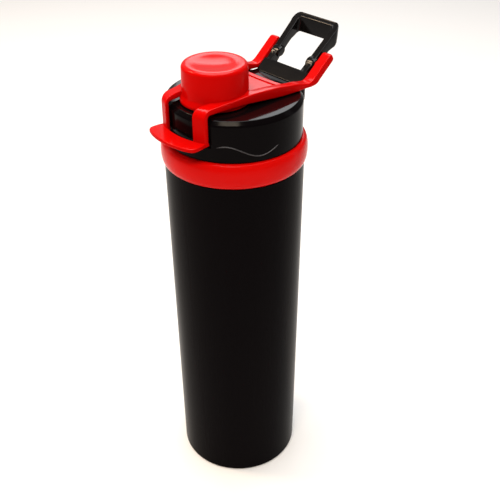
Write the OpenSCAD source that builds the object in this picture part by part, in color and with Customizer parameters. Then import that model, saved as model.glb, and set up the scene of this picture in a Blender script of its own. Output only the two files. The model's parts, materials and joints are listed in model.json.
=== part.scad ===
// Shaker bottle: screw lid, flip-up spout lever and fixed carrying loop.
// Millimetres. Origin at the centre of the foot, +Z up, the thumb tab points to -Y.

/* [Cup] */
// Height of the cup's wall, from the foot to the ledge that carries the collar
cup_h = 204.7; // [160:0.1:240]
// Outside radius of the wall at the foot
cup_base_r = 35.5; // [35:0.1:37]
// Outside radius of the wall at the ledge
cup_top_r = 37; // [37:0.1:37.6]
// Thickness of the wall
cup_wall = 1.8; // [1.4:0.1:2.2]
// Thickness of the base
base_t = 2.8; // [2.4:0.1:4]
// Depth of the ring groove under the base
base_groove = 1.2; // [0.6:0.1:1.4]
// Outside radius of the screw neck
neck_r = 31; // [30.6:0.1:31.1]
// Thickness of the neck
neck_wall = 2; // [1.6:0.1:2.2]

/* [Collar] */
// Height of the collar
collar_h = 13.3; // [12.5:0.1:13.5]
// Radius of the collar at its fullest
collar_r = 38.7; // [38:0.1:40]
// Radius of the collar's bore
collar_bore_r = 34.3; // [34.2:0.1:34.4]

/* [Lid] */
// Outside radius of the lid
lid_r = 35.75; // [35.5:0.05:36]
// Height of the lid, from its lower edge to the deck
lid_h = 21.5; // [21.2:0.1:21.8]
// Thickness of the deck
deck_t = 2.4; // [1.8:0.1:2.6]
// Radius of the rounding round the deck
rim_fillet = 2.3; // [0.8:0.1:2.4]
// Radius of the recess that takes the lever's legs
recess_r = 34.2; // [34.1:0.1:34.6]
// Distance of the spout's axis in front of the lid's axis
spout_offset = 12; // [11.5:0.1:12.5]
// Radius of the drinking bore
spout_bore_r = 8; // [7.8:0.1:8.4]
// Height of the spout above the deck
spout_h = 14.2; // [13.8:0.1:14.4]

/* [Thread] */
// Rise of the screw thread in one turn
lead = 4; // [3.8:0.1:4.2]
// Thickness of a thread ridge at its root
ridge_root = 1.7; // [1.4:0.1:1.8]
// Thickness of a thread ridge at its crest
ridge_crest = 0.9; // [0.6:0.1:1]
// Height of a thread ridge
ridge_depth = 1.5; // [1.2:0.1:1.6]
// Free space between the two ridges' flanks, along the axis
flank_gap = 0.3; // [0.25:0.05:0.5]

/* [Lever] */
// Radius of the knob
knob_r = 16.6; // [16.4:0.1:17]
// Height of the knob's top above the deck
knob_h = 19.6; // [19.4:0.1:21]
// Radius of the space inside the knob
knob_bore_r = 14.6; // [14.2:0.1:14.8]
// Outside radius of the arc that the legs follow
leg_outer_r = 37.1; // [37:0.1:37.4]
// Thickness of the legs
leg_t = 2.2; // [1.8:0.1:2.3]
// How far the thumb tab reaches in front of the lid's axis
tab_reach = 45.4; // [44:0.1:50]
// Thickness of the thumb tab
tab_t = 2; // [1.5:0.1:2.4]
// Thickness of the plate behind the knob
plate_t = 2; // [1.6:0.1:2.4]
// Half the distance between the arms
arm_inner_x = 16.4; // [16.3:0.1:16.8]
// Outside half-width over the arms
arm_outer_x = 22.2; // [21.5:0.1:23]
// Thickness of the arms
arm_t = 4.2; // [4.1:0.1:5]
// Length of the arms, measured up the slope
arm_l = 19.5; // [18:0.1:21]

/* [Handle] */
// Slope of the loop, from the horizontal
tilt = 39.5; // [37:0.5:42]
// Length of the loop, measured up the slope
handle_l = 36.8; // [34:0.1:40]
// Outside half-width of the loop at its foot
handle_x = 14.5; // [14:0.1:14.8]
// Outside half-width of the loop at its crossbar
handle_top_x = 16.2; // [15:0.1:16.3]
// Width of the side bars
bar_w = 4.1; // [3.5:0.1:4.5]
// Lean of the loop's walls, from the vertical
wall_lean = 6; // [0:1:10]
// Height of the crossbar's walls
crossbar_t = 8.2; // [7.5:0.1:9]
// Height of the side bars' walls
bar_t = 6.2; // [5.5:0.1:7]
// Length of the solid plate at the foot of the loop
foot_l = 6.4; // [5:0.1:6.8]

/* [Hinge] */
// Distance of the pivot up the slope
pivot_s = 12; // [11.5:0.1:13]
// Radius of the lever's two pivot stubs
stub_r = 1.5; // [1.3:0.05:1.6]
// Running clearance of the stubs
stub_gap = 0.08; // [0.05:0.01:0.1]
// Radius of the knuckles on the handle's bars
knuckle_r = 2.7; // [2.6:0.1:3.2]

/* [Seals and grid] */
// Thickness of the lid gasket
gasket_t = 1.6; // [1.2:0.1:1.6]
// Pitch of the grid's bars
grid_pitch = 5.8; // [5:0.1:7]
// Width of the grid's bars
grid_bar = 1.6; // [1.2:0.1:2]

/* [Hidden] */
$fn = 96;

black = "#1b1718";
red = "#d3141c";
silicone = "#c9c9c4";
grid_grey = "#3a3838";

// Heights that the pieces share
shoulder_z = cup_h + 7.3;
neck_foot_z = cup_h + 9.8;
collar_top_z = cup_h + collar_h;
lid_z = collar_top_z + 0.3;
deck_z = lid_z + lid_h;
web_z = lid_z + 8.7;
web_top_z = web_z + 2;
neck_top_z = web_z - gasket_t;
ledge_z = web_z - 1.1;
spout_top_z = deck_z + spout_h;
knob_top_z = deck_z + knob_h;

// Radii inside the lid
neck_in_r = neck_r - neck_wall;
skirt_r = neck_r + 2.1;
chamber_r = skirt_r + 0.6;
chamber_front = 26.5;
spigot_r = 26.9;
spigot_in_r = 25.5;
spigot_z = web_z - 5;
recess_half_angle = 30;

// Thread: both helices share one rise; the lid's ridge runs under the neck's
neck_ridge_z = shoulder_z + 5;
neck_ridge_turns = 1.7;
lid_ridge_drop = ridge_root + flank_gap;
lid_ridge_start = 380;
lid_ridge_turns = 0.8;

// Lever
front_top_z = deck_z + 5;
rail_bottom_z = deck_z + 0.5;
front_bottom_z = deck_z + 2.2;
leg_foot_z = ledge_z + 0.5;
leg_inner_x = 10.1;
leg_outer_x = 16.7;
corner_r = 4.6;
plate_z = deck_z + 1.6;
knob_foot_z = deck_z + 0.5;
plate_rear_y = 19.5;
panel_depth = 0.5;
knob_flare = 1.2;
knob_fillet = 2;
dish_r = 11.5;
dish_depth = 1.1;
seal_r = 12.4;
seal_pocket_z = spout_top_z + 1;
seal_top_z = spout_top_z + 2.4;

// Handle: its front face starts at this line, and the arms' tops are flush with that face
seat_y = 33.4;
seat_z = deck_z + 2.2;
crossbar_w = 2.9;
tongue_x = 11;
tongue_y = 30.6;
tongue_t = 5;
tongue_z = deck_z - 6.6;
boss_x = 16.8;
boss_y = 38.6;
boss_corner_r = 6;
foot_x = 15.9;
boss_z = deck_z - 9;
arm_stub_x = 11.6;
knuckle_in_x = 9.6;
knuckle_out_x = 15.9;
pivot_n = -arm_t / 2;

// Points of an arc about c, from angle a0 to a1
function arc(c, r, a0, a1, n = 8) =
    [for (i = [0:n]) let (a = a0 + (a1 - a0) * i / n) [c.x + r * cos(a), c.y + r * sin(a)]];

// Ring with a rectangular section
module ring(r_in, r_out, z0, z1) {
    translate([0, 0, z0])
        difference() {
            cylinder(r = r_out, h = z1 - z0);
            translate([0, 0, -1])
                cylinder(r = r_in, h = z1 - z0 + 2);
        }
}

// Box between two corners
module box(lo, hi) {
    translate(lo)
        cube(hi - lo);
}

// Both sides of a piece that is symmetrical about the Y-Z plane
module both_sides() {
    children();
    mirror([1, 0, 0])
        children();
}

// Helical ridge on a wall of radius r: depth is outwards, or inwards when it is negative.
// Its root is sunk into the wall and its height fades out at both ends.
module ridge(r, depth, z0, start, turns) {
    step = 7.5;
    n = round(turns * 360 / step);
    fade = 4;
    side = sign(depth);
    section = [[-0.4 * side, -ridge_root / 2], [depth, -ridge_crest / 2],
               [depth, ridge_crest / 2], [-0.4 * side, ridge_root / 2]];
    points = [for (i = [0:n], p = section)
        let (a = start + i * step, k = min(1, (i + 0.4) / fade, (n - i + 0.4) / fade),
             d = p.x == depth ? p.x * k : p.x)
        [(r + d) * cos(a), (r + d) * sin(a), z0 + lead * a / 360 + p.y]];
    walls = [for (i = [0:n - 1], j = [0:3])
        let (a = 4 * i + j, b = 4 * i + (j + 1) % 4)
        each [[a, a + 4, b + 4], [a, b + 4, b]]];
    ends = [[0, 1, 2], [0, 2, 3], [4 * n + 2, 4 * n + 1, 4 * n], [4 * n + 3, 4 * n + 2, 4 * n]];
    faces = concat(walls, ends);
    polyhedron(points, side > 0 ? [for (f = faces) [f[2], f[1], f[0]]] : faces, convexity = 10);
}

// Frame of the sloping loop: X across, Y up the slope, Z out of its front face
module on_slope() {
    translate([0, seat_y, seat_z])
        rotate([tilt, 0, 0])
            children();
}

// Cylinder along X about the pivot, between two distances from the middle plane
module pivot_cylinder(r, x0, x1) {
    on_slope()
        translate([x0, pivot_s, pivot_n])
            rotate([0, 90, 0])
                cylinder(r = r, h = x1 - x0, $fn = 48);
}

// One cup: flat base with a ring groove, a shoulder under the collar and a screw neck
module bottle_body() {
    groove_in_r = cup_base_r - 10;
    groove_out_r = cup_base_r - 5;
    inner_base_r = cup_base_r - cup_wall;
    inner_top_r = cup_top_r - cup_wall;
    outer = concat(
        [[0, 0], [groove_in_r, 0], [groove_in_r + 0.8, base_groove],
         [groove_out_r - 0.8, base_groove], [groove_out_r, 0]],
        arc([cup_base_r - 1.5, 1.5], 1.5, -90, 0, 6),
        [[cup_top_r, cup_h - 0.4], [cup_top_r - 0.4, cup_h], [collar_bore_r - 0.1, cup_h],
         [collar_bore_r - 0.1, shoulder_z], [neck_r, neck_foot_z]],
        arc([neck_r - 0.6, neck_top_z - 0.6], 0.6, 0, 90, 4),
        arc([neck_in_r + 0.6, neck_top_z - 0.6], 0.6, 90, 180, 4));
    inner = concat(
        [[neck_in_r, neck_foot_z - 1], [collar_bore_r - cup_wall, shoulder_z - 1.4],
         [collar_bore_r - cup_wall, cup_h - 1.6], [inner_top_r, cup_h - 7]],
        arc([inner_base_r - 3, base_t + 3], 3, 0, -90, 8),
        [[0, base_t]]);
    color(black)
        union() {
            rotate_extrude()
                polygon(concat(outer, inner));
            ridge(neck_r, ridge_depth, neck_ridge_z, 0, neck_ridge_turns);
        }
}

// Convex ring pushed over the shoulder, resting on the cup's ledge
module collar_ring() {
    side_r = collar_r - 2.6;
    mid_z = cup_h + collar_h * 0.48;
    bulge = [for (i = [-9:9])
        let (a = i * 10, half = a < 0 ? mid_z - cup_h : collar_top_z - mid_z)
        [side_r + (collar_r - side_r) * pow(cos(a), 0.7), mid_z + half * sin(a)]];
    color(red)
        rotate_extrude()
            polygon(concat([[collar_bore_r, cup_h]], bulge, [[collar_bore_r, collar_top_z]]));
}

// Outer body of the lid, with the leg recess cut out of its front
module lid_outside() {
    difference() {
        translate([0, 0, lid_z])
            rotate_extrude()
                polygon(concat([[0, 0], [lid_r - 0.4, 0], [lid_r, 0.4]],
                               arc([lid_r - rim_fillet, lid_h - rim_fillet], rim_fillet, 0, 90),
                               [[0, lid_h]]));
        translate([0, 0, ledge_z])
            rotate([0, 0, -90 - recess_half_angle])
                rotate_extrude(angle = 2 * recess_half_angle)
                    translate([recess_r, 0])
                        square([5, lid_h]);
    }
}

// Block behind the lid that holds the foot of the carrying loop: its back corners are round and
// its underside rises outwards
module lid_boss() {
    round_y = boss_y - boss_corner_r;
    intersection() {
        rotate([90, 0, 90])
            translate([0, 0, -boss_x])
                linear_extrude(2 * boss_x)
                    polygon([[28, boss_z], [lid_r - 0.4, boss_z], [boss_y, boss_z + 5.2],
                             [boss_y, deck_z], [28, deck_z]]);
        translate([0, 0, boss_z - 1])
            linear_extrude(20)
                polygon(concat([[-boss_x, 20], [boss_x, 20]],
                               arc([boss_x - boss_corner_r, round_y], boss_corner_r, 0, 90, 12),
                               arc([-boss_x + boss_corner_r, round_y], boss_corner_r, 90, 180, 12)));
    }
}

// Screw lid: skirt, web for the gasket, spigot for the grid, chamber, deck and spout
module lid() {
    color(black)
        difference() {
            union() {
                difference() {
                    union() {
                        lid_outside();
                        lid_boss();
                    }
                    translate([0, 0, lid_z - 1])
                        cylinder(r = skirt_r, h = web_z - lid_z + 1);
                    translate([0, 0, web_top_z])
                        difference() {
                            cylinder(r = chamber_r, h = deck_z - deck_t - web_top_z);
                            box([-40, -50, -1], [40, -chamber_front, lid_h]);
                            box([-boss_x, 28, -1], [boss_x, 50, lid_h]);
                        }
                }
                ring(spigot_in_r, spigot_r, spigot_z, web_z + 0.5);
                ridge(skirt_r, -ridge_depth, neck_ridge_z - lid_ridge_drop, lid_ridge_start,
                      lid_ridge_turns);
                translate([0, -spout_offset, deck_z - 0.5])
                    rotate_extrude()
                        polygon([[0, 0], [11, 0], [10.6, 1], [10, spout_h - 2], [10.6, spout_h - 1.2],
                                 [10.6, spout_h - 0.2], [9.9, spout_h + 0.5], [0, spout_h + 0.5]]);
            }
            translate([0, 0, web_z - 1])
                cylinder(r = spigot_in_r, h = web_top_z - web_z + 2);
            translate([0, -spout_offset, web_top_z + 1])
                cylinder(r = spout_bore_r, h = 40);
            box([-tongue_x, tongue_y, tongue_z], [tongue_x, tongue_y + tongue_t, deck_z + 1]);
        }
}

// Flat silicone washer between the neck's lip and the lid's web
module lid_gasket() {
    color(silicone)
        ring(spigot_r + 0.3, skirt_r - 0.3, neck_top_z, web_z);
}

// Strainer that snaps into the spigot under the lid
module mixing_grid() {
    rim_r = spigot_in_r - 0.05;
    grid_z = spigot_z + 0.6;
    count = ceil(rim_r / grid_pitch);
    color(grid_grey)
        union() {
            ring(rim_r - 1.8, rim_r, grid_z, grid_z + 2.4);
            intersection() {
                translate([0, 0, grid_z])
                    cylinder(r = rim_r - 1, h = 1.4);
                union()
                    for (i = [-count:count], turn = [0, 90])
                        rotate([0, 0, turn])
                            translate([i * grid_pitch - grid_bar / 2, -rim_r, grid_z - 1])
                                cube([grid_bar, 2 * rim_r, 4]);
            }
        }
}

// Plan of the loop, seen along its walls; lengths up the slope are shortened by k
module handle_outline(k) {
    top_r = 3;
    in_r = 1.6;
    out_end = handle_l * k;
    in_end = (handle_l - crossbar_w) * k;
    foot_end = foot_l * k;
    widen = (handle_top_x - handle_x) / out_end;
    in_foot_x = handle_x + widen * foot_end - bar_w;
    in_top_x = handle_x + widen * in_end - bar_w;
    wide_end = foot_end - 1;
    difference() {
        polygon(concat([[-handle_x - widen * foot_end, foot_end], [-foot_x, wide_end], [-foot_x, -6],
                        [foot_x, -6], [foot_x, wide_end], [handle_x + widen * foot_end, foot_end]],
                       arc([handle_top_x - top_r, out_end - top_r], top_r, 0, 90),
                       arc([-handle_top_x + top_r, out_end - top_r], top_r, 90, 180)));
        polygon(concat(arc([in_foot_x - 1, foot_end + 1], 1, 0, -90, 4),
                       arc([-in_foot_x + 1, foot_end + 1], 1, -90, -180, 4),
                       arc([-in_top_x + in_r, in_end - in_r], in_r, 180, 90),
                       arc([in_top_x - in_r, in_end - in_r], in_r, 90, 0)));
    }
}

// Side view of the loop: sloping top, and a crossbar that is deeper than the side bars
module handle_side(rise) {
    up = [cos(rise), sin(rise)];
    polygon([up * -6, up * handle_l, up * handle_l - [0, crossbar_t],
             up * (handle_l - crossbar_w - 1) - [0, crossbar_t],
             up * (handle_l - crossbar_w - 8) - [0, bar_t], up * -6 - [0, bar_t]]);
}

// Carrying loop: sloping frame with two pivot knuckles, on a tongue that plugs into the lid
module carry_handle() {
    rise = tilt + wall_lean;
    color(black)
        difference() {
            union() {
                intersection() {
                    translate([0, seat_y, seat_z])
                        rotate([-wall_lean, 0, 0])
                            intersection() {
                                translate([0, 0, -20])
                                    linear_extrude(60)
                                        handle_outline(cos(rise));
                                rotate([90, 0, 90])
                                    translate([0, 0, -handle_top_x - 1])
                                        linear_extrude(2 * handle_top_x + 2)
                                            handle_side(rise);
                            }
                    box([-40, 0, deck_z], [40, 90, deck_z + 60]);
                }
                both_sides()
                    pivot_cylinder(knuckle_r, knuckle_in_x, knuckle_out_x);
                box([-tongue_x, tongue_y, tongue_z], [tongue_x, tongue_y + tongue_t, deck_z + 0.5]);
            }
            both_sides()
                pivot_cylinder(stub_r + stub_gap, arm_stub_x - 0.3, knuckle_out_x + 1);
        }
}

// Side view of the lever's leg, rail and arm, in the Y-Z plane
module lever_side() {
    slope = [cos(tilt), sin(tilt)];
    out = [-sin(tilt), cos(tilt)];
    seat = [seat_y, seat_z];
    tip_c = seat + slope * (arm_l - 2) - out * 2;
    under = seat - out * arm_t;
    polygon(concat(
        [[-leg_outer_r - 1, leg_foot_z]],
        arc([-leg_outer_r + corner_r, front_top_z - corner_r], corner_r, 180, 90),
        [[-20, front_top_z + 0.7], [-4, front_top_z + 1.6], [10, front_top_z + 1.2],
         [24, front_top_z - 0.3], [31.4, seat_z + 0.2], seat + slope],
        arc(tip_c, 2, 90 + tilt, tilt, 4),
        arc(tip_c - out * (arm_t - 4), 2, tilt, tilt - 90, 4),
        [under + slope, [34, rail_bottom_z], [14, rail_bottom_z], [-8, front_bottom_z],
         [-leg_outer_r + leg_t + 1.5, front_bottom_z], [-leg_outer_r + leg_t, front_bottom_z - 1.5],
         [-20, front_bottom_z - 1.5], [-20, leg_foot_z]]));
}

// Plan view of one rail, from the leg to the tip of the arm
module rail_plan() {
    a_in = asin(leg_inner_x / leg_outer_r);
    a_out = asin(leg_outer_x / leg_outer_r);
    polygon(concat(
        arc([0, 0], leg_outer_r, -90 + a_in, -90 + a_out, 6),
        [[arm_outer_x, 24], [arm_outer_x, 60], [arm_inner_x, 60], [arm_inner_x, 30], [17.4, 23],
         [17, 16], [14.4, 0], [12, -12], [10.6, -26]]));
}

// Hollow round knob that closes over the spout
module knob() {
    top = knob_top_z - knob_foot_z;
    translate([0, -spout_offset, knob_foot_z])
        difference() {
            rotate_extrude()
                polygon(concat([[0, 0], [knob_r + knob_flare, 0], [knob_r + knob_flare, 1],
                                [knob_r + 0.3, 2.6]],
                               arc([knob_r - knob_fillet, top - knob_fillet], knob_fillet, 0, 90),
                               [for (i = [0:6]) let (k = i / 6)
                                [dish_r * (1 - k), top - dish_depth * (1 - pow(1 - k, 2))]]));
            translate([0, 0, -1])
                cylinder(r = knob_bore_r, h = seal_pocket_z - knob_foot_z + 1);
            cylinder(r = seal_r + 0.05, h = seal_top_z - knob_foot_z);
        }
}

// Thumb tab: flat plate in front of the legs, with a curved edge and round corners
module thumb_tab() {
    tab_x = 17.6;
    front_r = 44;
    round_r = 5;
    corner_y = -tab_reach + 7.6;
    inner_r = lid_r + 0.5;
    side_y = -leg_outer_r * cos(asin(leg_outer_x / leg_outer_r));
    outline = concat(
        [for (i = [-4:4]) let (x = i * 3)
            [x, -tab_reach + front_r - sqrt(front_r * front_r - x * x)]],
        arc([tab_x - round_r, corner_y], round_r, -55, 0, 5),
        [[leg_outer_x, side_y], [leg_outer_x, -20], [-leg_outer_x, -20], [-leg_outer_x, side_y]],
        arc([-tab_x + round_r, corner_y], round_r, -180, -125, 5));
    difference() {
        translate([0, 0, leg_foot_z])
            linear_extrude(tab_t)
                polygon(outline);
        intersection() {
            translate([0, 0, leg_foot_z - 1])
                cylinder(r = inner_r, h = tab_t + 2);
            box([-leg_inner_x, -50, leg_foot_z - 2], [leg_inner_x, 0, leg_foot_z + 5]);
        }
    }
}

// Flip-top: knob, plate, rails, legs with the thumb tab, and arms with the pivot stubs
module flip_lever() {
    color(red)
        union() {
            difference() {
                union() {
                    intersection() {
                        rotate([90, 0, 90])
                            translate([0, 0, -arm_outer_x])
                                linear_extrude(2 * arm_outer_x)
                                    lever_side();
                        translate([0, 0, leg_foot_z - 1])
                            linear_extrude(60)
                                both_sides()
                                    rail_plan();
                    }
                    thumb_tab();
                }
                translate([0, 0, leg_foot_z - 1])
                    cylinder(r = leg_outer_r - leg_t, h = front_bottom_z - leg_foot_z + 1);
                translate([0, -spout_offset, 0])
                    cylinder(r = knob_bore_r, h = 260);
            }
            difference() {
                translate([0, 0, plate_z])
                    linear_extrude(plate_t)
                        polygon([[-15, -8], [15, -8], [17.5, 15], [17.9, 21], [10, plate_rear_y + 0.4],
                                 [0, plate_rear_y], [-10, plate_rear_y + 0.4], [-17.9, 21], [-17.5, 15]]);
                translate([0, 0, plate_z + plate_t - panel_depth])
                    linear_extrude(plate_t)
                        polygon([[-13.4, -1], [13.4, -1], [15.8, 15], [15.4, 17.6],
                                 [10, plate_rear_y - 2.4], [0, plate_rear_y - 2.8],
                                 [-10, plate_rear_y - 2.4], [-15.4, 17.6], [-15.8, 15]]);
                translate([0, -spout_offset, 0])
                    cylinder(r = knob_bore_r, h = 260);
            }
            knob();
            both_sides()
                pivot_cylinder(stub_r, arm_stub_x, arm_inner_x + 1);
        }
}

// Silicone stopper held in the top of the knob: disc on the spout's lip and a short nose in its bore
module spout_seal() {
    color(silicone)
        translate([0, -spout_offset, spout_top_z])
            rotate_extrude()
                polygon([[0, -3], [6.2, -3], [6.8, -2.4], [7.3, 0], [seal_r, 0],
                         [seal_r, seal_top_z - spout_top_z], [0, seal_top_z - spout_top_z]]);
}

bottle_body();
collar_ring();
lid();
lid_gasket();
mixing_grid();
carry_handle();
flip_lever();
spout_seal();
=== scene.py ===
"""Shaker bottle: the looks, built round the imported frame. Shapes are written in millimetres."""

import json
from math import asin, atan2, cos, degrees, pi, radians, sin, sqrt, tan

import bpy
from mathutils import Euler, Matrix, Vector


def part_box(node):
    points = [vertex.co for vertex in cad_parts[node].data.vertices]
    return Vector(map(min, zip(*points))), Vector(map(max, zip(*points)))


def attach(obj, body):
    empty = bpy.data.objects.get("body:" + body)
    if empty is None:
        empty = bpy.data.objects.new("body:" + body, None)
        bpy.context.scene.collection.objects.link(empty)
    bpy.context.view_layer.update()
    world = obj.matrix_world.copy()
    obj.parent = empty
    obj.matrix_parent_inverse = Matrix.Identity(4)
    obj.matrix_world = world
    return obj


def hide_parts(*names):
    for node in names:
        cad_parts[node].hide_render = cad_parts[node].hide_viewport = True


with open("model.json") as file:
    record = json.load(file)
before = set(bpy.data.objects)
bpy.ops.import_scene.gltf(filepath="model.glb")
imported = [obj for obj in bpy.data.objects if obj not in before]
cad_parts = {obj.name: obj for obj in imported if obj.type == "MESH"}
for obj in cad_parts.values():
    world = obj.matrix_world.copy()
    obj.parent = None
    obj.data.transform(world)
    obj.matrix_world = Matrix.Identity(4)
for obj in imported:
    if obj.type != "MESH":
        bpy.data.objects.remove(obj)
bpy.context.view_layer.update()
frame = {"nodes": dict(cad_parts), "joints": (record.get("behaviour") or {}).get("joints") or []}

MM = 0.001


def extent(node):
    """Lowest and highest corner of a CAD node, in millimetres."""
    low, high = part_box(node)
    return low / MM, high / MM


# ---------------------------------------------------------------- heights and radii from the frame
CUP_HIGH = extent("bottle_body")[1]
COLLAR_LOW, COLLAR_HIGH = extent("collar_ring")
LID_LOW, LID_HIGH = extent("lid")
GASKET_HIGH = extent("lid_gasket")[1]
LEVER_LOW, LEVER_HIGH = extent("flip_lever")
LOOP_LOW = extent("carry_handle")[0]
SEAL_LOW, SEAL_HIGH = extent("spout_seal")

NECK_TOP = CUP_HIGH.z
CUP_TOP = COLLAR_LOW.z
CUP_TOP_R = CUP_HIGH.x
CUP_FOOT_R = CUP_TOP_R - 1.5        # the cup widens upwards
COLLAR_R = COLLAR_HIGH.x
LID_R = -LID_LOW.x
LID_FOOT = LID_LOW.z
SPOUT_TOP = LID_HIGH.z
WEB = GASKET_HIGH.z                 # underside of the lid's inner ring, where the gasket sits
KNOB_TOP = LEVER_HIGH.z
DECK = KNOB_TOP - 19.6              # top face of the lid
SPOUT_Y = (SEAL_LOW.y + SEAL_HIGH.y) / 2
PIVOT = Vector(next(j for j in frame["joints"] if j["name"] == "lever_flip")["pos_m"]) / MM

# ---------------------------------------------------------------- sizes shared by several pieces
CUP_WALL = 1.8
NECK_R = 31.0
NECK_WALL = 2.0
NECK_THREAD_Z = CUP_TOP + 12.3      # height of the neck's thread at its start
COLLAR_BORE = 34.3
SKIRT_R = 33.1
SPIGOT_R = 26.9
SPIGOT_BORE = 25.5
SPOUT_BORE = 8.0
THREAD_LEAD = 4.0
THREAD_DEPTH = 1.5
LEG_R = 37.1
LEG_T = 2.2
KNOB_R = 16.6
KNOB_BORE = 14.6
TILT = radians(39.5)                # slope of the arms and of the carrying loop
LEAN = radians(6)                   # lean of the loop's inner walls from the vertical
SEAT = Vector((33.4, DECK + 2.2))   # y and z where the slope of the arms starts
UP_SLOPE = Vector((cos(TILT), sin(TILT)))
OUT_OF_SLOPE = Vector((-sin(TILT), cos(TILT)))
TONGUE_X = 11                       # half width of the tongue that holds the loop in the lid
TONGUE_FRONT, TONGUE_BACK = 30.6, 35.6


# ---------------------------------------------------------------- mesh tools
def mesh_object(name, points, faces):
    """Mesh from points in millimetres, with its faces turned outwards."""
    mesh = bpy.data.meshes.new(name)
    mesh.from_pydata([tuple(Vector(p) * MM) for p in points], [], faces)
    piece = bpy.data.objects.new(name, mesh)
    bpy.context.scene.collection.objects.link(piece)
    volume = sum((mesh.vertices[f.vertices[0]].co).dot(f.normal) * f.area for f in mesh.polygons)
    if volume < 0:
        mesh.flip_normals()
    return piece


def settle(piece):
    """Applies the modifiers of a piece."""
    graph = bpy.context.evaluated_depsgraph_get()
    old = piece.data
    piece.data = bpy.data.meshes.new_from_object(piece.evaluated_get(graph))
    piece.modifiers.clear()
    bpy.data.meshes.remove(old)
    return piece


def boolean(piece, parts, operation):
    """Combines the parts into the piece, one after another, and deletes them."""
    for part in parts:
        step = piece.modifiers.new("boolean", "BOOLEAN")
        step.operation = operation
        step.solver = "MANIFOLD"
        step.object = part
    settle(piece)
    for part in parts:
        bpy.data.objects.remove(part)
    return piece


def join(piece, *parts):
    return boolean(piece, parts, "UNION")


def cut(piece, *parts):
    return boolean(piece, parts, "DIFFERENCE")


def round_edges(piece, width, angle=35):
    """Rounds every edge that is sharper than the angle."""
    step = piece.modifiers.new("round", "BEVEL")
    step.width = width * MM
    step.segments = 3
    step.limit_method = "ANGLE"
    step.angle_limit = radians(angle)
    return settle(piece)


def fillet(corners, steps=5):
    """Closed outline through corners (x, y, radius), each rounded by an arc of its radius."""
    points = []
    for i, (x, y, radius) in enumerate(corners):
        here = Vector((x, y))
        if not radius:
            points.append(here)
            continue
        back = Vector(corners[i - 1][:2]) - here
        ahead = Vector(corners[(i + 1) % len(corners)][:2]) - here
        half = back.angle(ahead) / 2
        reach = min(radius / tan(half), 0.49 * back.length, 0.49 * ahead.length)
        start, end = here + back.normalized() * reach, here + ahead.normalized() * reach
        centre = here + (back.normalized() + ahead.normalized()).normalized() * reach / cos(half)
        turn = pi - 2 * half
        for k in range(steps + 1):
            t = k / steps
            points.append(centre + ((start - centre) * sin((1 - t) * turn)
                                    + (end - centre) * sin(t * turn)) / sin(turn))
    return points


def arc(centre, radius, first, last, steps=8):
    """Points of an arc between two angles in degrees."""
    angles = [radians(first + (last - first) * k / steps) for k in range(steps + 1)]
    return [Vector((centre[0] + radius * cos(a), centre[1] + radius * sin(a))) for a in angles]


def lathe(name, outline, y=0.0, angles=None, bend=None):
    """Solid of revolution about the vertical axis at y, from a closed outline of (radius, height)."""
    angles = angles or [2 * pi * k / 144 for k in range(144)]
    points, rows = [], []
    for radius, z in outline:
        start = len(points)
        if radius < 1e-6:
            points.append((0, y, z))
            rows.append([start] * len(angles))
            continue
        for a in angles:
            r, h = bend(a, radius, z) if bend else (radius, z)
            points.append((r * cos(a), y + r * sin(a), h))
        rows.append(list(range(start, start + len(angles))))
    faces = []
    for low, high in zip(rows, rows[1:] + rows[:1]):
        for k in range(len(angles)):
            n = (k + 1) % len(angles)
            corners = dict.fromkeys((low[k], low[n], high[n], high[k]))
            if len(corners) > 2:
                faces.append(list(corners))
    return mesh_object(name, points, faces)


def loft(name, rings):
    """Closed solid through rings with the same number of points."""
    size = len(rings[0])
    points = [p for ring in rings for p in ring]
    faces = [[low + k, low + (k + 1) % size, low + size + (k + 1) % size, low + size + k]
             for low in range(0, (len(rings) - 1) * size, size) for k in range(size)]
    last = (len(rings) - 1) * size
    faces += [list(range(size))[::-1], list(range(last, last + size))]
    return mesh_object(name, points, faces)


def section(corners, radius, crown=(0, 0, 0, 0), steps=4):
    """Ring round four corners: the corners are rounded and each side bulges by its crown."""
    middle = sum(corners, Vector()) / 4
    ring = []
    for k, here in enumerate(corners):
        back, ahead = corners[k - 1], corners[(k + 1) % 4]
        start = here + (back - here).normalized() * min(radius, 0.45 * (back - here).length)
        end = here + (ahead - here).normalized() * min(radius, 0.45 * (ahead - here).length)
        ring += [start * (1 - t) ** 2 + here * 2 * t * (1 - t) + end * t * t
                 for t in (i / steps for i in range(steps + 1))]
        side = (here + ahead) / 2
        ring.append(side + (side - middle).normalized() * crown[k])
    return ring


def prism(name, outline, low, high, along="z"):
    """Outline pushed from low to high along an axis; along x the outline is (y, z)."""
    place = {"z": lambda p, h: (p[0], p[1], h), "x": lambda p, h: (h, p[0], p[1])}[along]
    return loft(name, [[place(p, h) for p in outline] for h in (low, high)])


def rod(name, radius, x0, x1, edge=0.0, stretch=1.0):
    """Cylinder along X about the pivot, with rounded ends; stretch lengthens it up the slope."""
    steps = [(x0, radius), (x1, radius)]
    if edge:
        steps = [(x0, radius - edge), (x0 + 0.3 * edge, radius - 0.3 * edge), (x0 + edge, radius),
                 (x1 - edge, radius), (x1 - 0.3 * edge, radius - 0.3 * edge), (x1, radius - edge)]
    rings = []
    for x, r in steps:
        rings.append([])
        for a in (2 * pi * k / 48 for k in range(48)):
            p = UP_SLOPE * r * stretch * cos(a) + OUT_OF_SLOPE * r * sin(a)
            rings[-1].append((x, PIVOT.y + p.x, PIVOT.z + p.y))
    return loft(name, rings)


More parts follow.
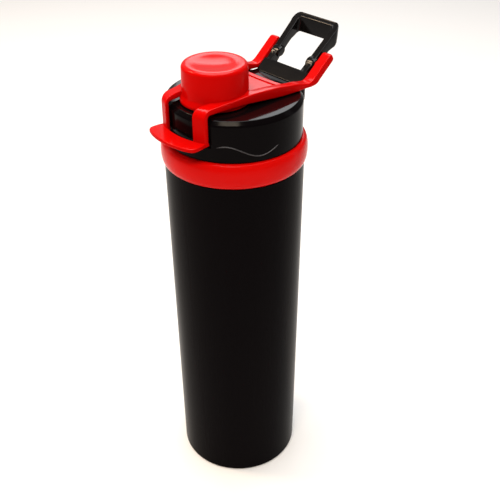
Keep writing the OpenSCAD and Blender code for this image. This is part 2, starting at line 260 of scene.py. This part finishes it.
def thread(name, radius, depth, z, start, turns):
    """Helical ridge with a trapezoid section whose height fades at both ends."""
    steps = round(turns * 72)
    side = 1 if depth > 0 else -1
    rings = []
    for i in range(steps + 1):
        a = radians(start + i * 5)
        out = depth * min(1, (i + 0.4) / 6, (steps - i + 0.4) / 6)
        h = z + THREAD_LEAD * a / (2 * pi)
        rings.append([((radius + r) * cos(a), (radius + r) * sin(a), h + dz)
                      for r, dz in ((-0.4 * side, -0.85), (out * 0.8, -0.55), (out, -0.3),
                                    (out, 0.3), (out * 0.8, 0.55), (-0.4 * side, 0.85))])
    return loft(name, rings)


def spline(keys, steps):
    """Catmull-Rom curve through the keys, which are lists of vectors of the same length."""
    ends = [[2 * a - b for a, b in zip(keys[0], keys[1])],
            [2 * a - b for a, b in zip(keys[-1], keys[-2])]]
    path = [ends[0]] + keys + [ends[1]]
    curve = []
    for i in range(1, len(path) - 2):
        for k in range(steps):
            t = k / steps
            curve.append([(b * 2 + (c - a) * t + (a * 2 - b * 5 + c * 4 - d) * t * t
                           + (b * 3 - a - c * 3 + d) * t ** 3) / 2
                          for a, b, c, d in zip(*path[i - 1:i + 3])])
    return curve + [keys[-1]]


def between(table, x):
    """Value at x on the straight lines through the table's (x, value) pairs."""
    for (x0, v0), (x1, v1) in zip(table, table[1:]):
        if x <= x1:
            return v0 + (v1 - v0) * max(0, (x - x0) / (x1 - x0))
    return table[-1][1]


def smoothstep(low, high, x):
    """Rises smoothly from 0 at low to 1 at high."""
    t = max(0, min(1, (x - low) / (high - low)))
    return t * t * (3 - 2 * t)


# ---------------------------------------------------------------- materials
def map_range(material, source, low, high, socket, values):
    """Drives a socket of the shader: source from low to high gives the first to the second value."""
    nodes, links = material.node_tree.nodes, material.node_tree.links
    step = nodes.new("ShaderNodeMapRange")
    step.inputs["From Min"].default_value = low
    step.inputs["From Max"].default_value = high
    step.inputs["To Min"].default_value, step.inputs["To Max"].default_value = values
    links.new(source, step.inputs["Value"])
    links.new(step.outputs["Result"], nodes["Principled BSDF"].inputs[socket])


def noise(material, vector, scale, detail):
    """Output of a noise texture of a position."""
    texture = material.node_tree.nodes.new("ShaderNodeTexNoise")
    texture.inputs["Scale"].default_value = scale
    texture.inputs["Detail"].default_value = detail
    material.node_tree.links.new(vector, texture.inputs["Vector"])
    return texture.outputs["Fac"]


def moulded(name, colour, roughness, specular, bump, tint=0.12, gloss_and_painted_reflection_streaks=False, polish=None):
    """Moulded plastic: slight random shifts of colour, uneven gloss and a fine skin texture.

    Polish is the specular level of the faces that look up in the piece's own frame. With the streak flag,
    the colour noise is stretched upright. In the colour it gives painted reflection streaks, and in the
    gloss it gives real uneven gloss.
    """
    material = bpy.data.materials.new(name)
    material.use_nodes = True
    nodes, links = material.node_tree.nodes, material.node_tree.links
    shader = nodes["Principled BSDF"]
    shader.inputs["Specular IOR Level"].default_value = specular

    place = nodes.new("ShaderNodeTexCoord")
    stretch = nodes.new("ShaderNodeMapping")
    # Stretched upright, the noise gives vertical streaks: painted reflection streaks in the colour, real
    # uneven gloss in the roughness.
    stretch.inputs["Scale"].default_value = (1, 1, 0.06 if gloss_and_painted_reflection_streaks else 1)
    links.new(place.outputs["Object"], stretch.inputs["Vector"])

    tone_and_painted_streaks = noise(material, stretch.outputs["Vector"], 70, 4)
    shade = nodes.new("ShaderNodeMix")
    shade.data_type = "RGBA"
    shade.inputs["A"].default_value = (*[c * (1 - tint) for c in colour], 1)
    shade.inputs["B"].default_value = (*[c * (1 + tint) for c in colour], 1)
    links.new(tone_and_painted_streaks, shade.inputs["Factor"])
    links.new(shade.outputs["Result"], shader.inputs["Base Color"])
    map_range(material, tone_and_painted_streaks, 0.3, 0.7, "Roughness", (roughness * 0.85, roughness * 1.2))

    relief = nodes.new("ShaderNodeBump")
    relief.inputs["Strength"].default_value = bump
    relief.inputs["Distance"].default_value = 0.0003
    links.new(noise(material, place.outputs["Object"], 900, 2), relief.inputs["Height"])
    links.new(relief.outputs["Normal"], shader.inputs["Normal"])

    if polish:
        facing = nodes.new("ShaderNodeSeparateXYZ")
        links.new(place.outputs["Normal"], facing.inputs["Vector"])
        map_range(material, facing.outputs["Z"], 0.6, 0.95, "Specular IOR Level", (specular, polish))
    return material


# The cup's vertical colour streaks are painted reflections; its gloss streaks are real uneven gloss.
CUP_BLACK = moulded("cup_black", (0.0029, 0.0021, 0.0025), 0.25, 0.014, 0.05, gloss_and_painted_reflection_streaks=True)
LID_BLACK = moulded("lid_black", (0.0022, 0.0015, 0.0018), 0.16, 0.03, 0.01)
DECK_BLACK = moulded("deck_black", (0.0024, 0.0018, 0.0020), 0.07, 0.19, 0.006)
LOOP_BLACK = moulded("loop_black", (0.0036, 0.0030, 0.0030), 0.14, 0.22, 0.03)
# Light grey for the wave bead on the black lid: a painted highlight along the raised line.
PAINTED_BEAD_HIGHLIGHT = moulded("bead_painted_highlight", (0.04, 0.038, 0.04), 0.3, 0.4, 0.02)
LEVER_RED = moulded("lever_red", (0.52, 0.0014, 0.0009), 0.13, 0.016, 0.02, tint=0.04, polish=0.27)
COLLAR_RED = moulded("collar_red", (0.60, 0.0020, 0.0010), 0.13, 0.06, 0.03, tint=0.05)
SILICONE = moulded("silicone", (0.62, 0.61, 0.58), 0.5, 0.35, 0.05, tint=0.03)
GRID_GREY = moulded("grid_grey", (0.05, 0.05, 0.052), 0.45, 0.4, 0.06)


def dress(piece, material, body, slot, *nodes, smooth=32):
    """Shading, material, body and the CAD nodes that a finished piece stands for. The slot is not used."""
    piece.data.shade_smooth()
    piece.data.set_sharp_from_angle(angle=radians(smooth))
    even = piece.modifiers.new("even", "WEIGHTED_NORMAL")
    even.keep_sharp = True
    piece.data.materials.clear()
    piece.data.materials.append(material)
    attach(piece, body)
    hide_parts(*nodes)


# ---------------------------------------------------------------- cup
def make_cup():
    """Tapered cup with a grooved base, a shoulder for the collar and a threaded neck."""
    shoulder = CUP_TOP + 7.3
    neck_foot = CUP_TOP + 9.8
    neck_in = NECK_R - NECK_WALL
    foot_in = CUP_FOOT_R - CUP_WALL
    outline = fillet([
        (0, 0, 0), (CUP_FOOT_R - 10, 0, 0.4), (CUP_FOOT_R - 9.2, 1.2, 0.4),
        (CUP_FOOT_R - 5.8, 1.2, 0.4), (CUP_FOOT_R - 5, 0, 0.4), (CUP_FOOT_R, 0, 1.5),
        (CUP_TOP_R, CUP_TOP, 0.5), (COLLAR_BORE - 0.1, CUP_TOP, 0), (COLLAR_BORE - 0.1, shoulder, 0.5),
        (NECK_R, neck_foot, 0.6), (NECK_R, NECK_TOP, 0.7), (neck_in, NECK_TOP, 0.7),
        (neck_in, neck_foot - 1, 2), (COLLAR_BORE - CUP_WALL, shoulder - 1.4, 1.5),
        (COLLAR_BORE - CUP_WALL, CUP_TOP - 1.6, 2), (CUP_TOP_R - CUP_WALL, CUP_TOP - 7, 3),
        (foot_in, 2.8, 3), (0, 2.8, 0)])
    cup = lathe("cup_shell", outline)
    join(cup, thread("cup_thread", NECK_R, THREAD_DEPTH, NECK_THREAD_Z, 0, 1.7))
    dress(cup, CUP_BLACK, "cup", "cup_black", "bottle_body")


def make_collar():
    """Convex band with a small lip at its top and bottom edges."""
    middle = CUP_TOP + (COLLAR_HIGH.z - CUP_TOP) * 0.48
    bulge, steps = 2.6, 24
    side = COLLAR_R - bulge
    curve = []
    for i in range(-steps, steps + 1):
        a = radians(90 * i / steps)
        half = (middle - CUP_TOP) if a < 0 else (COLLAR_HIGH.z - middle)
        curve.append((side + bulge * abs(cos(a)) ** 0.7, middle + half * sin(a)))
    outline = [(COLLAR_BORE, CUP_TOP)] + curve + [(COLLAR_BORE, COLLAR_HIGH.z)]
    band = lathe("collar_band", outline)
    dress(band, COLLAR_RED, "cup", "collar_red", "collar_ring")


# ---------------------------------------------------------------- lid
FRONT = -pi / 2
RECESS_HALF = radians(30)           # the lever's legs lie in a recess this far to each side
RECESS_EDGE = 0.012                 # half the angle over which the wall steps in
RECESS_R = 34.2
LEDGE = WEB - 1.1                   # lower end of the recess
WAVE_MID, WAVE_RISE = 224.35, 2.85
WAVE_PERIOD = radians(56)
WAVE_CREST = radians(-48.5)
WAVE_ENDS = radians(-57), radians(-3)
DECK_T = 2.4
CHAMBER_R = 33.0                    # radius of the room under the deck
RIM_W, RIM_H = 1.8, 2.2             # the sloping rim round the deck
BOSS_X, BOSS_FOOT = 16.8, DECK - 8.9
SPOUT_ANGLES = [2 * pi * k / 96 for k in range(96)]


def recessed(angle, radius, z):
    """Moves the outside of the lid's wall in where the lever's legs lie."""
    away = abs((angle - FRONT + pi) % (2 * pi) - pi)
    inside = 1 - smoothstep(RECESS_HALF - RECESS_EDGE, RECESS_HALF + RECESS_EDGE, away)
    above = smoothstep(LEDGE - 0.2, LEDGE + 0.2, z)
    if radius < CHAMBER_R - 1 or (radius < SKIRT_R + 0.4 and z < DECK - 0.5):
        return radius, z
    return radius - (LID_R - RECESS_R) * inside * above, z


def wave_bead(name, side):
    """Raised wavy line on the lid's wall, thinning out at both ends."""
    first, last = WAVE_ENDS
    width, height, sunk = 0.32, 0.42, 0.08
    steps = 72
    rings = []
    for i in range(steps + 1):
        t = i / steps
        a = first + (last - first) * t
        phase = 2 * pi * (a - WAVE_CREST) / WAVE_PERIOD
        size = max(0.05, min(1, sin(pi * t) * 3)) ** 0.7
        slope = -WAVE_RISE * sin(phase) * 2 * pi / WAVE_PERIOD / LID_R
        turn = atan2(slope, 1)
        centre = Vector((LID_R, 0, WAVE_MID + WAVE_RISE * cos(phase)))
        across = Vector((0, -sin(turn), cos(turn)))
        ring = [centre + Vector((height * size * sin(b) - sunk, 0, 0)) + across * width * size * cos(b)
                for b in (2 * pi * k / 12 for k in range(12))]
        angle = a if side > 0 else pi - a
        rings.append([Matrix.Rotation(angle, 3, "Z") @ (p if side > 0 else Vector((p.x, -p.y, p.z)))
                      for p in ring])
    return loft(name, rings)


def lid_outline():
    """Outline of the lid's shell: deck, sloping rim, wall, skirt, web, spigot and chamber."""
    web_top = WEB + 2
    rows = [LEDGE + d for d in (0.3, 0.15, 0, -0.15, -0.3)]
    return (
        [Vector((0, DECK)), Vector((31, DECK))]
        + fillet([(31.5, DECK, 0), (LID_R - RIM_W, DECK, 0.5), (LID_R, DECK - RIM_H, 1.8),
                  (LID_R, DECK - 4.5, 0)], 5)
        + [Vector((LID_R, z)) for z in [DECK - 6] + rows + [LID_FOOT + 4]]
        + arc((LID_R - 0.5, LID_FOOT + 0.5), 0.5, 0, -90, 3)
        + [Vector(p) for p in ((SKIRT_R, LID_FOOT), (SKIRT_R, WEB), (SPIGOT_R, WEB),
                               (SPIGOT_R, WEB - 5), (SPIGOT_BORE, WEB - 5), (SPIGOT_BORE, web_top),
                               (CHAMBER_R, web_top), (CHAMBER_R, DECK - DECK_T), (0, DECK - DECK_T))])


def make_boss():
    """Block behind the lid that carries the loop, with a rising underside and round back corners."""
    back, front = LID_HIGH.y, 28
    side = fillet([(front, DECK, 0), (back, DECK, 1.2), (back, DECK - 3.8, 1.2),
                   (LID_R - 0.5, BOSS_FOOT, 0), (front, BOSS_FOOT, 0)], 4)
    plan = fillet([(-BOSS_X, front - 2, 0), (BOSS_X, front - 2, 0),
                   (BOSS_X, back, 6), (-BOSS_X, back, 6)], 10)
    return boolean(prism("boss", side, -BOSS_X, BOSS_X, "x"),
                   [prism("boss_plan", plan, DECK - 12, DECK + 2)], "INTERSECT")


def make_spout():
    """Short pipe with a flared foot and a lip; its bore is cut later."""
    outline = fillet([
        (0, DECK - 0.5, 0), (12, DECK - 0.5, 0), (12, DECK, 0), (10.3, DECK + 1.4, 1.2),
        (10, SPOUT_TOP - 2.6, 0.8), (10.7, SPOUT_TOP - 1.6, 0.5), (10.6, SPOUT_TOP, 0.7),
        (0, SPOUT_TOP, 0)])
    return lathe("spout", outline, y=SPOUT_Y, angles=SPOUT_ANGLES)


def make_lid():
    """Screw lid: shell, boss, spout, wave lines and thread, with the bore and the tongue's slot cut."""
    edges = [FRONT + side * (RECESS_HALF + step) for side in (-1, 1)
             for step in (-0.013, -0.008, -0.003, 0.003, 0.008, 0.013)]
    angles = sorted(a % (2 * pi) for a in [2 * pi * k / 144 + 0.001 for k in range(144)] + edges)
    lid = lathe("lid_shell", lid_outline(), angles=angles, bend=recessed)
    join(lid, make_boss(), make_spout(), wave_bead("wave_right", 1), wave_bead("wave_left", -1),
         thread("lid_thread", SKIRT_R, -THREAD_DEPTH, NECK_THREAD_Z - THREAD_LEAD / 2, 380, 0.8))
    bore = lathe("bore", fillet([
        (0, WEB + 3, 0), (SPOUT_BORE, WEB + 3, 0), (SPOUT_BORE, SPOUT_TOP - 0.8, 0.6),
        (SPOUT_BORE + 0.9, SPOUT_TOP + 0.1, 0), (0, SPOUT_TOP + 2, 0)], 3), y=SPOUT_Y, angles=SPOUT_ANGLES)
    slot = prism("slot", [(TONGUE_FRONT, LOOP_LOW.z), (TONGUE_BACK, LOOP_LOW.z), (TONGUE_BACK, DECK + 1),
                          (TONGUE_FRONT, DECK + 1)], -TONGUE_X, TONGUE_X, "x")
    cut(lid, bore, slot)
    dress(lid, LID_BLACK, "cap", "lid_black", "lid")
    lid.data.materials.append(DECK_BLACK)
    lid.data.materials.append(PAINTED_BEAD_HIGHLIGHT)
    for face in lid.data.polygons:
        x, y, z = face.center / MM
        if face.normal.z > 0.75 and z > DECK - DECK_T:
            face.material_index = 1
        # Faces of the wave bead take the light grey, a painted highlight along the raised line.
        elif sqrt(x * x + y * y) > LID_R + 0.05 and abs(z - WAVE_MID) < 5 and y < 0:
            face.material_index = 2


# ---------------------------------------------------------------- lever
ARM_T, ARM_L = 4.2, 19.5
ARM_IN, ARM_OUT = 16.4, LEVER_HIGH.x
LEG_IN, LEG_OUT = 10.1, 16.7
LEG_FOOT = LEVER_LOW.z
FRONT_TOP, FRONT_BOTTOM = DECK + 5, DECK + 2.2
PLATE = DECK + 1.6
KNOB_FOOT = DECK + 0.5
CORNER_R, INNER_CORNER_R = 4.6, 1.5
STUB_R, STUB_X = 1.5, 11.6

# the rail's upper and lower edge and its inner and outer side, as (y, value) pairs
RAIL_TOP = [(-33, FRONT_TOP), (-20, FRONT_TOP + 0.7), (-4, FRONT_TOP + 1.6), (10, FRONT_TOP + 1.2),
            (24, FRONT_TOP - 0.3), (31, DECK + 2.9)]
RAIL_BOTTOM = [(-33, FRONT_BOTTOM), (-8, FRONT_BOTTOM), (14, DECK + 0.5), (34, DECK + 0.5)]
RAIL_IN = [(-33, LEG_IN), (-26, 10.6), (-12, 12), (0, 14.4), (16, 17), (23, 17.4), (30, ARM_IN)]
RAIL_OUT = [(-33, LEG_OUT), (24, ARM_OUT)]


def rail_station(y):
    """Section of the rail across y: outside and inside points of the band, and its two x limits."""
    knob = (KNOB_R - 1) ** 2 - (y - SPOUT_Y) ** 2
    inner = max(between(RAIL_IN, y), sqrt(knob) if knob > 0 and y > -22 else 0)
    return [Vector((y, between(RAIL_TOP, y))), Vector((y, between(RAIL_BOTTOM, y))),
            Vector((inner, between(RAIL_OUT, y)))]


def leg_stations():
    """Sections of the leg from its foot up and round the front corner."""
    leg_x = Vector((LEG_IN, LEG_OUT))
    leg_in_r = LEG_R - LEG_T
    keys = [[Vector((-LEG_R, z)), Vector((-leg_in_r, min(z, DECK + 0.7))), leg_x]
            for z in (LEG_FOOT + 0.6, LEG_FOOT + 4, LEG_FOOT + 8, FRONT_TOP - CORNER_R - 1)]
    for k in range(7):
        a = radians(15 * k)
        turn = Vector((1 - cos(a), sin(a) - 1))
        keys.append([Vector((-LEG_R, FRONT_TOP)) + turn * CORNER_R,
                     Vector((-leg_in_r, FRONT_BOTTOM)) + turn * INNER_CORNER_R, leg_x])
    return keys


def arm_stations():
    """Sections from the end of the rail round the bend and up the arm."""
    arm_x = Vector((ARM_IN, ARM_OUT))
    keys = [[Vector((30.2, DECK + 3.1)), Vector((31, DECK + 0.45)), arm_x],
            [Vector((32.9, DECK + 2.75)), Vector((34.4, DECK + 0.25)), arm_x]]
    for s in (3, 6, 10, 14, ARM_L - 2):
        top = SEAT + UP_SLOPE * s
        keys.append([top, top - OUT_OF_SLOPE * ARM_T, arm_x])
    return keys


def arm_tip():
    """Sections that close the arm's end with a rounding."""
    tip = []
    for k in range(1, 6):
        a = radians(90 * k / 5.3)
        top = SEAT + UP_SLOPE * (ARM_L - 2 + 2 * sin(a))
        drop = 1.9 * (1 - cos(a))
        inset = Vector((1.5, -1.5)) * (1 - cos(a))
        tip.append([top - OUT_OF_SLOPE * drop, top - OUT_OF_SLOPE * (ARM_T - drop),
                    Vector((ARM_IN, ARM_OUT)) + inset])
    return tip


def rail_rings(side):
    """Rings from the leg's foot, round the front corner, along the rail and up the arm."""
    rail = [rail_station(y) for y in (-29, -26, -23, -19, -15, -11, -7, -3, 1, 6, 11, 16, 20, 24, 27)]
    rings = []
    for outer, inner, limits in spline(leg_stations() + rail + arm_stations(), 2) + arm_tip():
        wrap = 1 - smoothstep(-30, -16, outer[0])
        corners = []
        for (y, z), x in ((outer, limits[0]), (outer, limits[1]), (inner, limits[1]), (inner, limits[0])):
            sag = LEG_R - sqrt(LEG_R ** 2 - min(x, 20) ** 2)
            corners.append(Vector((side * x, y + wrap * sag, z)))
        rings.append(section(corners, 0.7, (0.05, 0.1, 0.1, 0.1)))
    return rings


def make_knob():
    """Hollow round cap with a shallow dish in its top and a groove for the seal inside."""
    dish_r, dish_depth = 11.8, 1.15
    seal_r, seal_foot, seal_top = 12.45, SPOUT_TOP + 1, SPOUT_TOP + 2.4
    dish = [Vector((dish_r * k / 6, KNOB_TOP - dish_depth * (1 - (k / 6) ** 2))) for k in range(7)]
    shape = fillet([
        (dish_r, KNOB_TOP, 0), (KNOB_R - 0.1, KNOB_TOP, 2.2), (KNOB_R + 0.2, KNOB_FOOT + 4, 3),
        (KNOB_R + 1.2, KNOB_FOOT + 1.4, 0.6), (KNOB_R + 1.2, KNOB_FOOT, 0.5),
        (KNOB_BORE, KNOB_FOOT, 0.4), (KNOB_BORE, seal_foot, 0.5), (seal_r, seal_foot, 0),
        (seal_r, seal_top, 0), (0, seal_top, 0)])
    return lathe("knob", dish + shape[1:], y=SPOUT_Y)


def front_angle(x, radius):
    """Angle in degrees at which a circle about the axis reaches x on the lid's front."""
    return degrees(asin(x / radius)) - 90


def make_tab():
    """Thumb tab: flat plate with a curved front edge, between and in front of the legs."""
    reach, front_r = -LEVER_LOW.y, 44
    front = [(x, -reach + front_r - sqrt(front_r ** 2 - x * x), 0) for x in range(-12, 13, 2)]
    leg_in_r, gap_r = LEG_R - LEG_T, LID_R + 0.6
    half = [(p.x, p.y, 0) for p in
            arc((0, 0), leg_in_r, front_angle(LEG_OUT, leg_in_r), front_angle(LEG_IN, leg_in_r), 4)
            + arc((0, 0), gap_r, front_angle(LEG_IN, gap_r), -90, 8)]
    inner = half + [(-x, y, r) for x, y, r in half[-2::-1]]
    side = [(17.6, -reach + 3.7, 5), (17.3, -36, 1), (LEG_OUT, -33.2, 0.5)]
    outline = fillet(front + side + inner + [(-x, y, r) for x, y, r in side[::-1]], 6)
    return round_edges(prism("tab", outline, LEG_FOOT, LEG_FOOT + 2), 0.7)


def make_plate():
    """Plate between the rails behind the knob, with a shallow panel and the bore of the knob cut out."""
    plate = prism("plate", fillet([
        (-15, -8, 0), (15, -8, 0), (17.6, 15, 0), (18.2, 21, 0), (10, 19.9, 2),
        (0, 19.5, 8), (-10, 19.9, 2), (-18.2, 21, 0), (-17.6, 15, 0)]), PLATE, PLATE + 2)
    panel = prism("panel", fillet([
        (-13.4, -1, 0), (13.4, -1, 0), (15.7, 15, 1), (15.2, 17.7, 1), (10, 17.1, 2),
        (0, 16.7, 8), (-10, 17.1, 2), (-15.2, 17.7, 1), (-15.7, 15, 1)]), PLATE + 1.5, PLATE + 3)
    bore = lathe("plate_bore", [(0, DECK), (KNOB_BORE, DECK), (KNOB_BORE, DECK + 9), (0, DECK + 9)],
                 y=SPOUT_Y)
    return cut(round_edges(plate, 0.5), panel, bore)


def make_lever():
    """Flip-top in one moulding: knob, plate, rails, legs, thumb tab, arms and pivot stubs."""
    lever = make_knob()
    lever.name = "lever_moulding"
    parts = [make_plate(), make_tab()]
    for side in (1, -1):
        parts.append(loft("rail", rail_rings(side)))
        parts.append(rod("stub", STUB_R, *sorted((side * STUB_X, side * (ARM_IN + 1))), 0.3))
    join(lever, *parts)
    dress(lever, LEVER_RED, "lever", "lever_red", "flip_lever")


# ---------------------------------------------------------------- carrying loop
LOOP_L = 36.8                       # length up the slope
LOOP_X, LOOP_TOP_X = 14.5, 16.2     # half width at the foot and at the crossbar
BAR_W, CROSSBAR_W = 4.1, 2.9
BAR_H, CROSSBAR_H = 6.2, 8.2
LOOP_OUT_R, LOOP_IN_R = 3.6, 1.6    # corner radii of the band
FOOT_X, FOOT_L = 15.9, 6.4
KNUCKLE_R, KNUCKLE_IN = 2.4, 9.6
HOLE_R = 1.58
LIFT = 0.02                         # keeps the underside just off the deck
PLAN = cos(TILT + LEAN)             # length of a step up the slope, seen along the leaning walls
DOWN = Vector((0, -sin(LEAN), -cos(LEAN)))


def on_loop(x, s, depth):
    """Point on the loop's sloping face at x and s up the slope, pushed down its wall by depth."""
    top = Vector((x, SEAT.x + UP_SLOPE.x * s, SEAT.y + UP_SLOPE.y * s))
    floor = DECK - 1.5 * smoothstep(7, 9, s)
    return top + DOWN * min(depth, (top.z - floor) / -DOWN.z - LIFT)


def loop_stations():
    """Outer and inner point (x, s) of the band: up one bar, round the corner, across and down again."""
    in_end = LOOP_L - CROSSBAR_W
    widen = (LOOP_TOP_X - LOOP_X) / LOOP_L
    half = [(LOOP_X + widen * s, s, LOOP_X + widen * s - BAR_W, s)
            for s in (2, 5, 8, 12, 16, 20, 24, 27, 30)]
    in_x = LOOP_X + widen * in_end - BAR_W
    for k in range(7):
        a = radians(15 * k)
        half.append((LOOP_TOP_X - LOOP_OUT_R * (1 - cos(a)), LOOP_L - LOOP_OUT_R * (1 - sin(a)) / PLAN,
                     in_x - LOOP_IN_R * (1 - cos(a)), in_end - LOOP_IN_R * (1 - sin(a)) / PLAN))
    half += [(x, LOOP_L, x * 0.8, in_end) for x in (11, 8, 5, 2, 0)]
    return half + [(-x_out, s_out, -x_in, s_in) for x_out, s_out, x_in, s_in in half[-2::-1]]


def loop_rings():
    """Rings round the loop; the wall is deepest at the crossbar and towards the foot."""
    in_end = LOOP_L - CROSSBAR_W
    rings = []
    for x_out, s_out, x_in, s_in in loop_stations():
        depth = (BAR_H + (CROSSBAR_H - BAR_H) * smoothstep(in_end - 9, in_end - 1, s_in)
                 + 2.2 * (1 - smoothstep(7, 15, s_in)))
        corners = [on_loop(x_out, s_out, 0), on_loop(x_in, s_in, 0),
                   on_loop(x_in, s_in, depth), on_loop(x_out, s_out, depth)]
        rings.append(section(corners, 0.6, (-0.3, 0, 0, 0.1)))
    return rings


def make_foot():
    """Wedge on the deck that carries the bars."""
    toe = SEAT - UP_SLOPE * (SEAT.y - DECK) / UP_SLOPE.y
    head = SEAT + UP_SLOPE * FOOT_L
    side = fillet([(toe.x, DECK + LIFT, 0.2), (head.x, head.y, 0.8), (head.x - 0.5, DECK + LIFT, 0.2)], 4)
    return round_edges(prism("foot", side, -FOOT_X, FOOT_X, "x"), 0.5, angle=50)


def make_loop():
    """Carrying loop: sloping frame, foot wedge with its tongue, and the two pivot knuckles."""
    loop = loft("loop_frame", loop_rings())
    tongue = prism("tongue", [(TONGUE_FRONT, LOOP_LOW.z), (TONGUE_BACK, LOOP_LOW.z),
                              (TONGUE_BACK, DECK + 0.5), (32, DECK + 0.5)], -TONGUE_X, TONGUE_X, "x")
    holes, knuckles = [], []
    for side in (1, -1):
        knuckles.append(rod("knuckle", KNUCKLE_R, *sorted((side * KNUCKLE_IN, side * FOOT_X)), 1.2, 1.4))
        holes.append(rod("hole", HOLE_R, *sorted((side * (STUB_X - 0.3), side * 17))))
    join(loop, make_foot(), tongue, *knuckles)
    cut(loop, *holes)
    loop.name = "carry_loop"
    dress(loop, LOOP_BLACK, "cap", "handle_black", "carry_handle")


# ---------------------------------------------------------------- CAD nodes that stay
def keep_node(name, material):
    """Gives a CAD node that stays a material of its own."""
    mesh = frame["nodes"][name].data
    mesh.materials.clear()
    mesh.materials.append(material)


make_cup()
make_collar()
make_lid()
make_lever()
make_loop()
keep_node("lid_gasket", SILICONE)
keep_node("spout_seal", SILICONE)
keep_node("mixing_grid", GRID_GREY)


# ---------------------------------------------------------------- floor, light and camera
def make_floor():
    """Plain white square under the bottle, four metres out each way."""
    far = 4.0
    mesh = bpy.data.meshes.new("floor")
    mesh.from_pydata([(-far, -far, 0), (far, -far, 0), (far, far, 0), (-far, far, 0)], [], [(0, 1, 2, 3)])
    floor = bpy.data.objects.new("floor", mesh)
    bpy.context.scene.collection.objects.link(floor)
    material = bpy.data.materials.new("floor_white")
    material.use_nodes = True
    shader = material.node_tree.nodes["Principled BSDF"]
    shader.inputs["Base Color"].default_value = (0.93, 0.93, 0.93, 1)
    shader.inputs["Roughness"].default_value = 0.8
    shader.inputs["Specular IOR Level"].default_value = 0.1
    mesh.materials.append(material)


def soft_box(name, at, aim, size, power, colour=(1, 1, 1)):
    """Rectangular light at a place, turned to another; places and size in metres, power in watts."""
    light = bpy.data.lights.new(name, "AREA")
    light.shape = "RECTANGLE"
    light.size, light.size_y = size
    light.energy = power
    light.color = colour
    lamp = bpy.data.objects.new(name, light)
    lamp.location = at
    lamp.rotation_euler = (Vector(aim) - Vector(at)).to_track_quat("-Z", "Y").to_euler()
    bpy.context.scene.collection.objects.link(lamp)


def make_light():
    """Even light from above and all round, with small panels for the glints."""
    world = bpy.data.worlds.new("world")
    world.use_nodes = True
    world.node_tree.nodes["Background"].inputs["Color"].default_value = (1, 1, 1, 1)
    world.node_tree.nodes["Background"].inputs["Strength"].default_value = 0.28
    bpy.context.scene.world = world
    soft_box("top", (-0.1, 0.1, 1.4), (0, 0, 0.1), (1.1, 1.1), 18)
    soft_box("behind", (-0.83, 0.84, 0.86), (0, 0, 0.24), (0.42, 0.32), 0.95, (0.96, 0.98, 1))
    soft_box("key", (-0.72, -0.50, 1.02), (0, 0, 0.24), (0.26, 0.26), 6, (1, 0.74, 0.5))
    soft_box("front", (0.45, -0.56, 1.15), (0, 0, 0.2), (0.5, 0.12), 8, (1, 0.84, 0.66))
    soft_box("left", (-0.9, -0.35, 0.5), (0, 0, 0.15), (0.2, 0.9), 0.45)
    soft_box("right", (0.5, 0.9, 0.5), (0, 0, 0.15), (0.2, 0.9), 0.4)


def make_camera():
    """Camera at the front right of the bottle, looking down on its lid."""
    camera = bpy.data.cameras.new("camera")
    camera.lens, camera.sensor_width = 57.47, 36
    view = bpy.data.objects.new("camera", camera)
    heading, pitch, roll = radians(47.32), radians(33.79), radians(-0.36)
    turn = Euler((0, 0, heading)).to_matrix() @ Euler((pi / 2 - pitch, 0, 0)).to_matrix()
    view.matrix_world = Matrix.Translation((0.2848, -0.2519, 0.3986)) @ (
        turn @ Euler((0, 0, roll)).to_matrix()).to_4x4()
    bpy.context.scene.collection.objects.link(view)
    bpy.context.scene.camera = view
    bpy.context.scene.view_settings.view_transform = "Standard"


make_floor()
make_light()
make_camera()
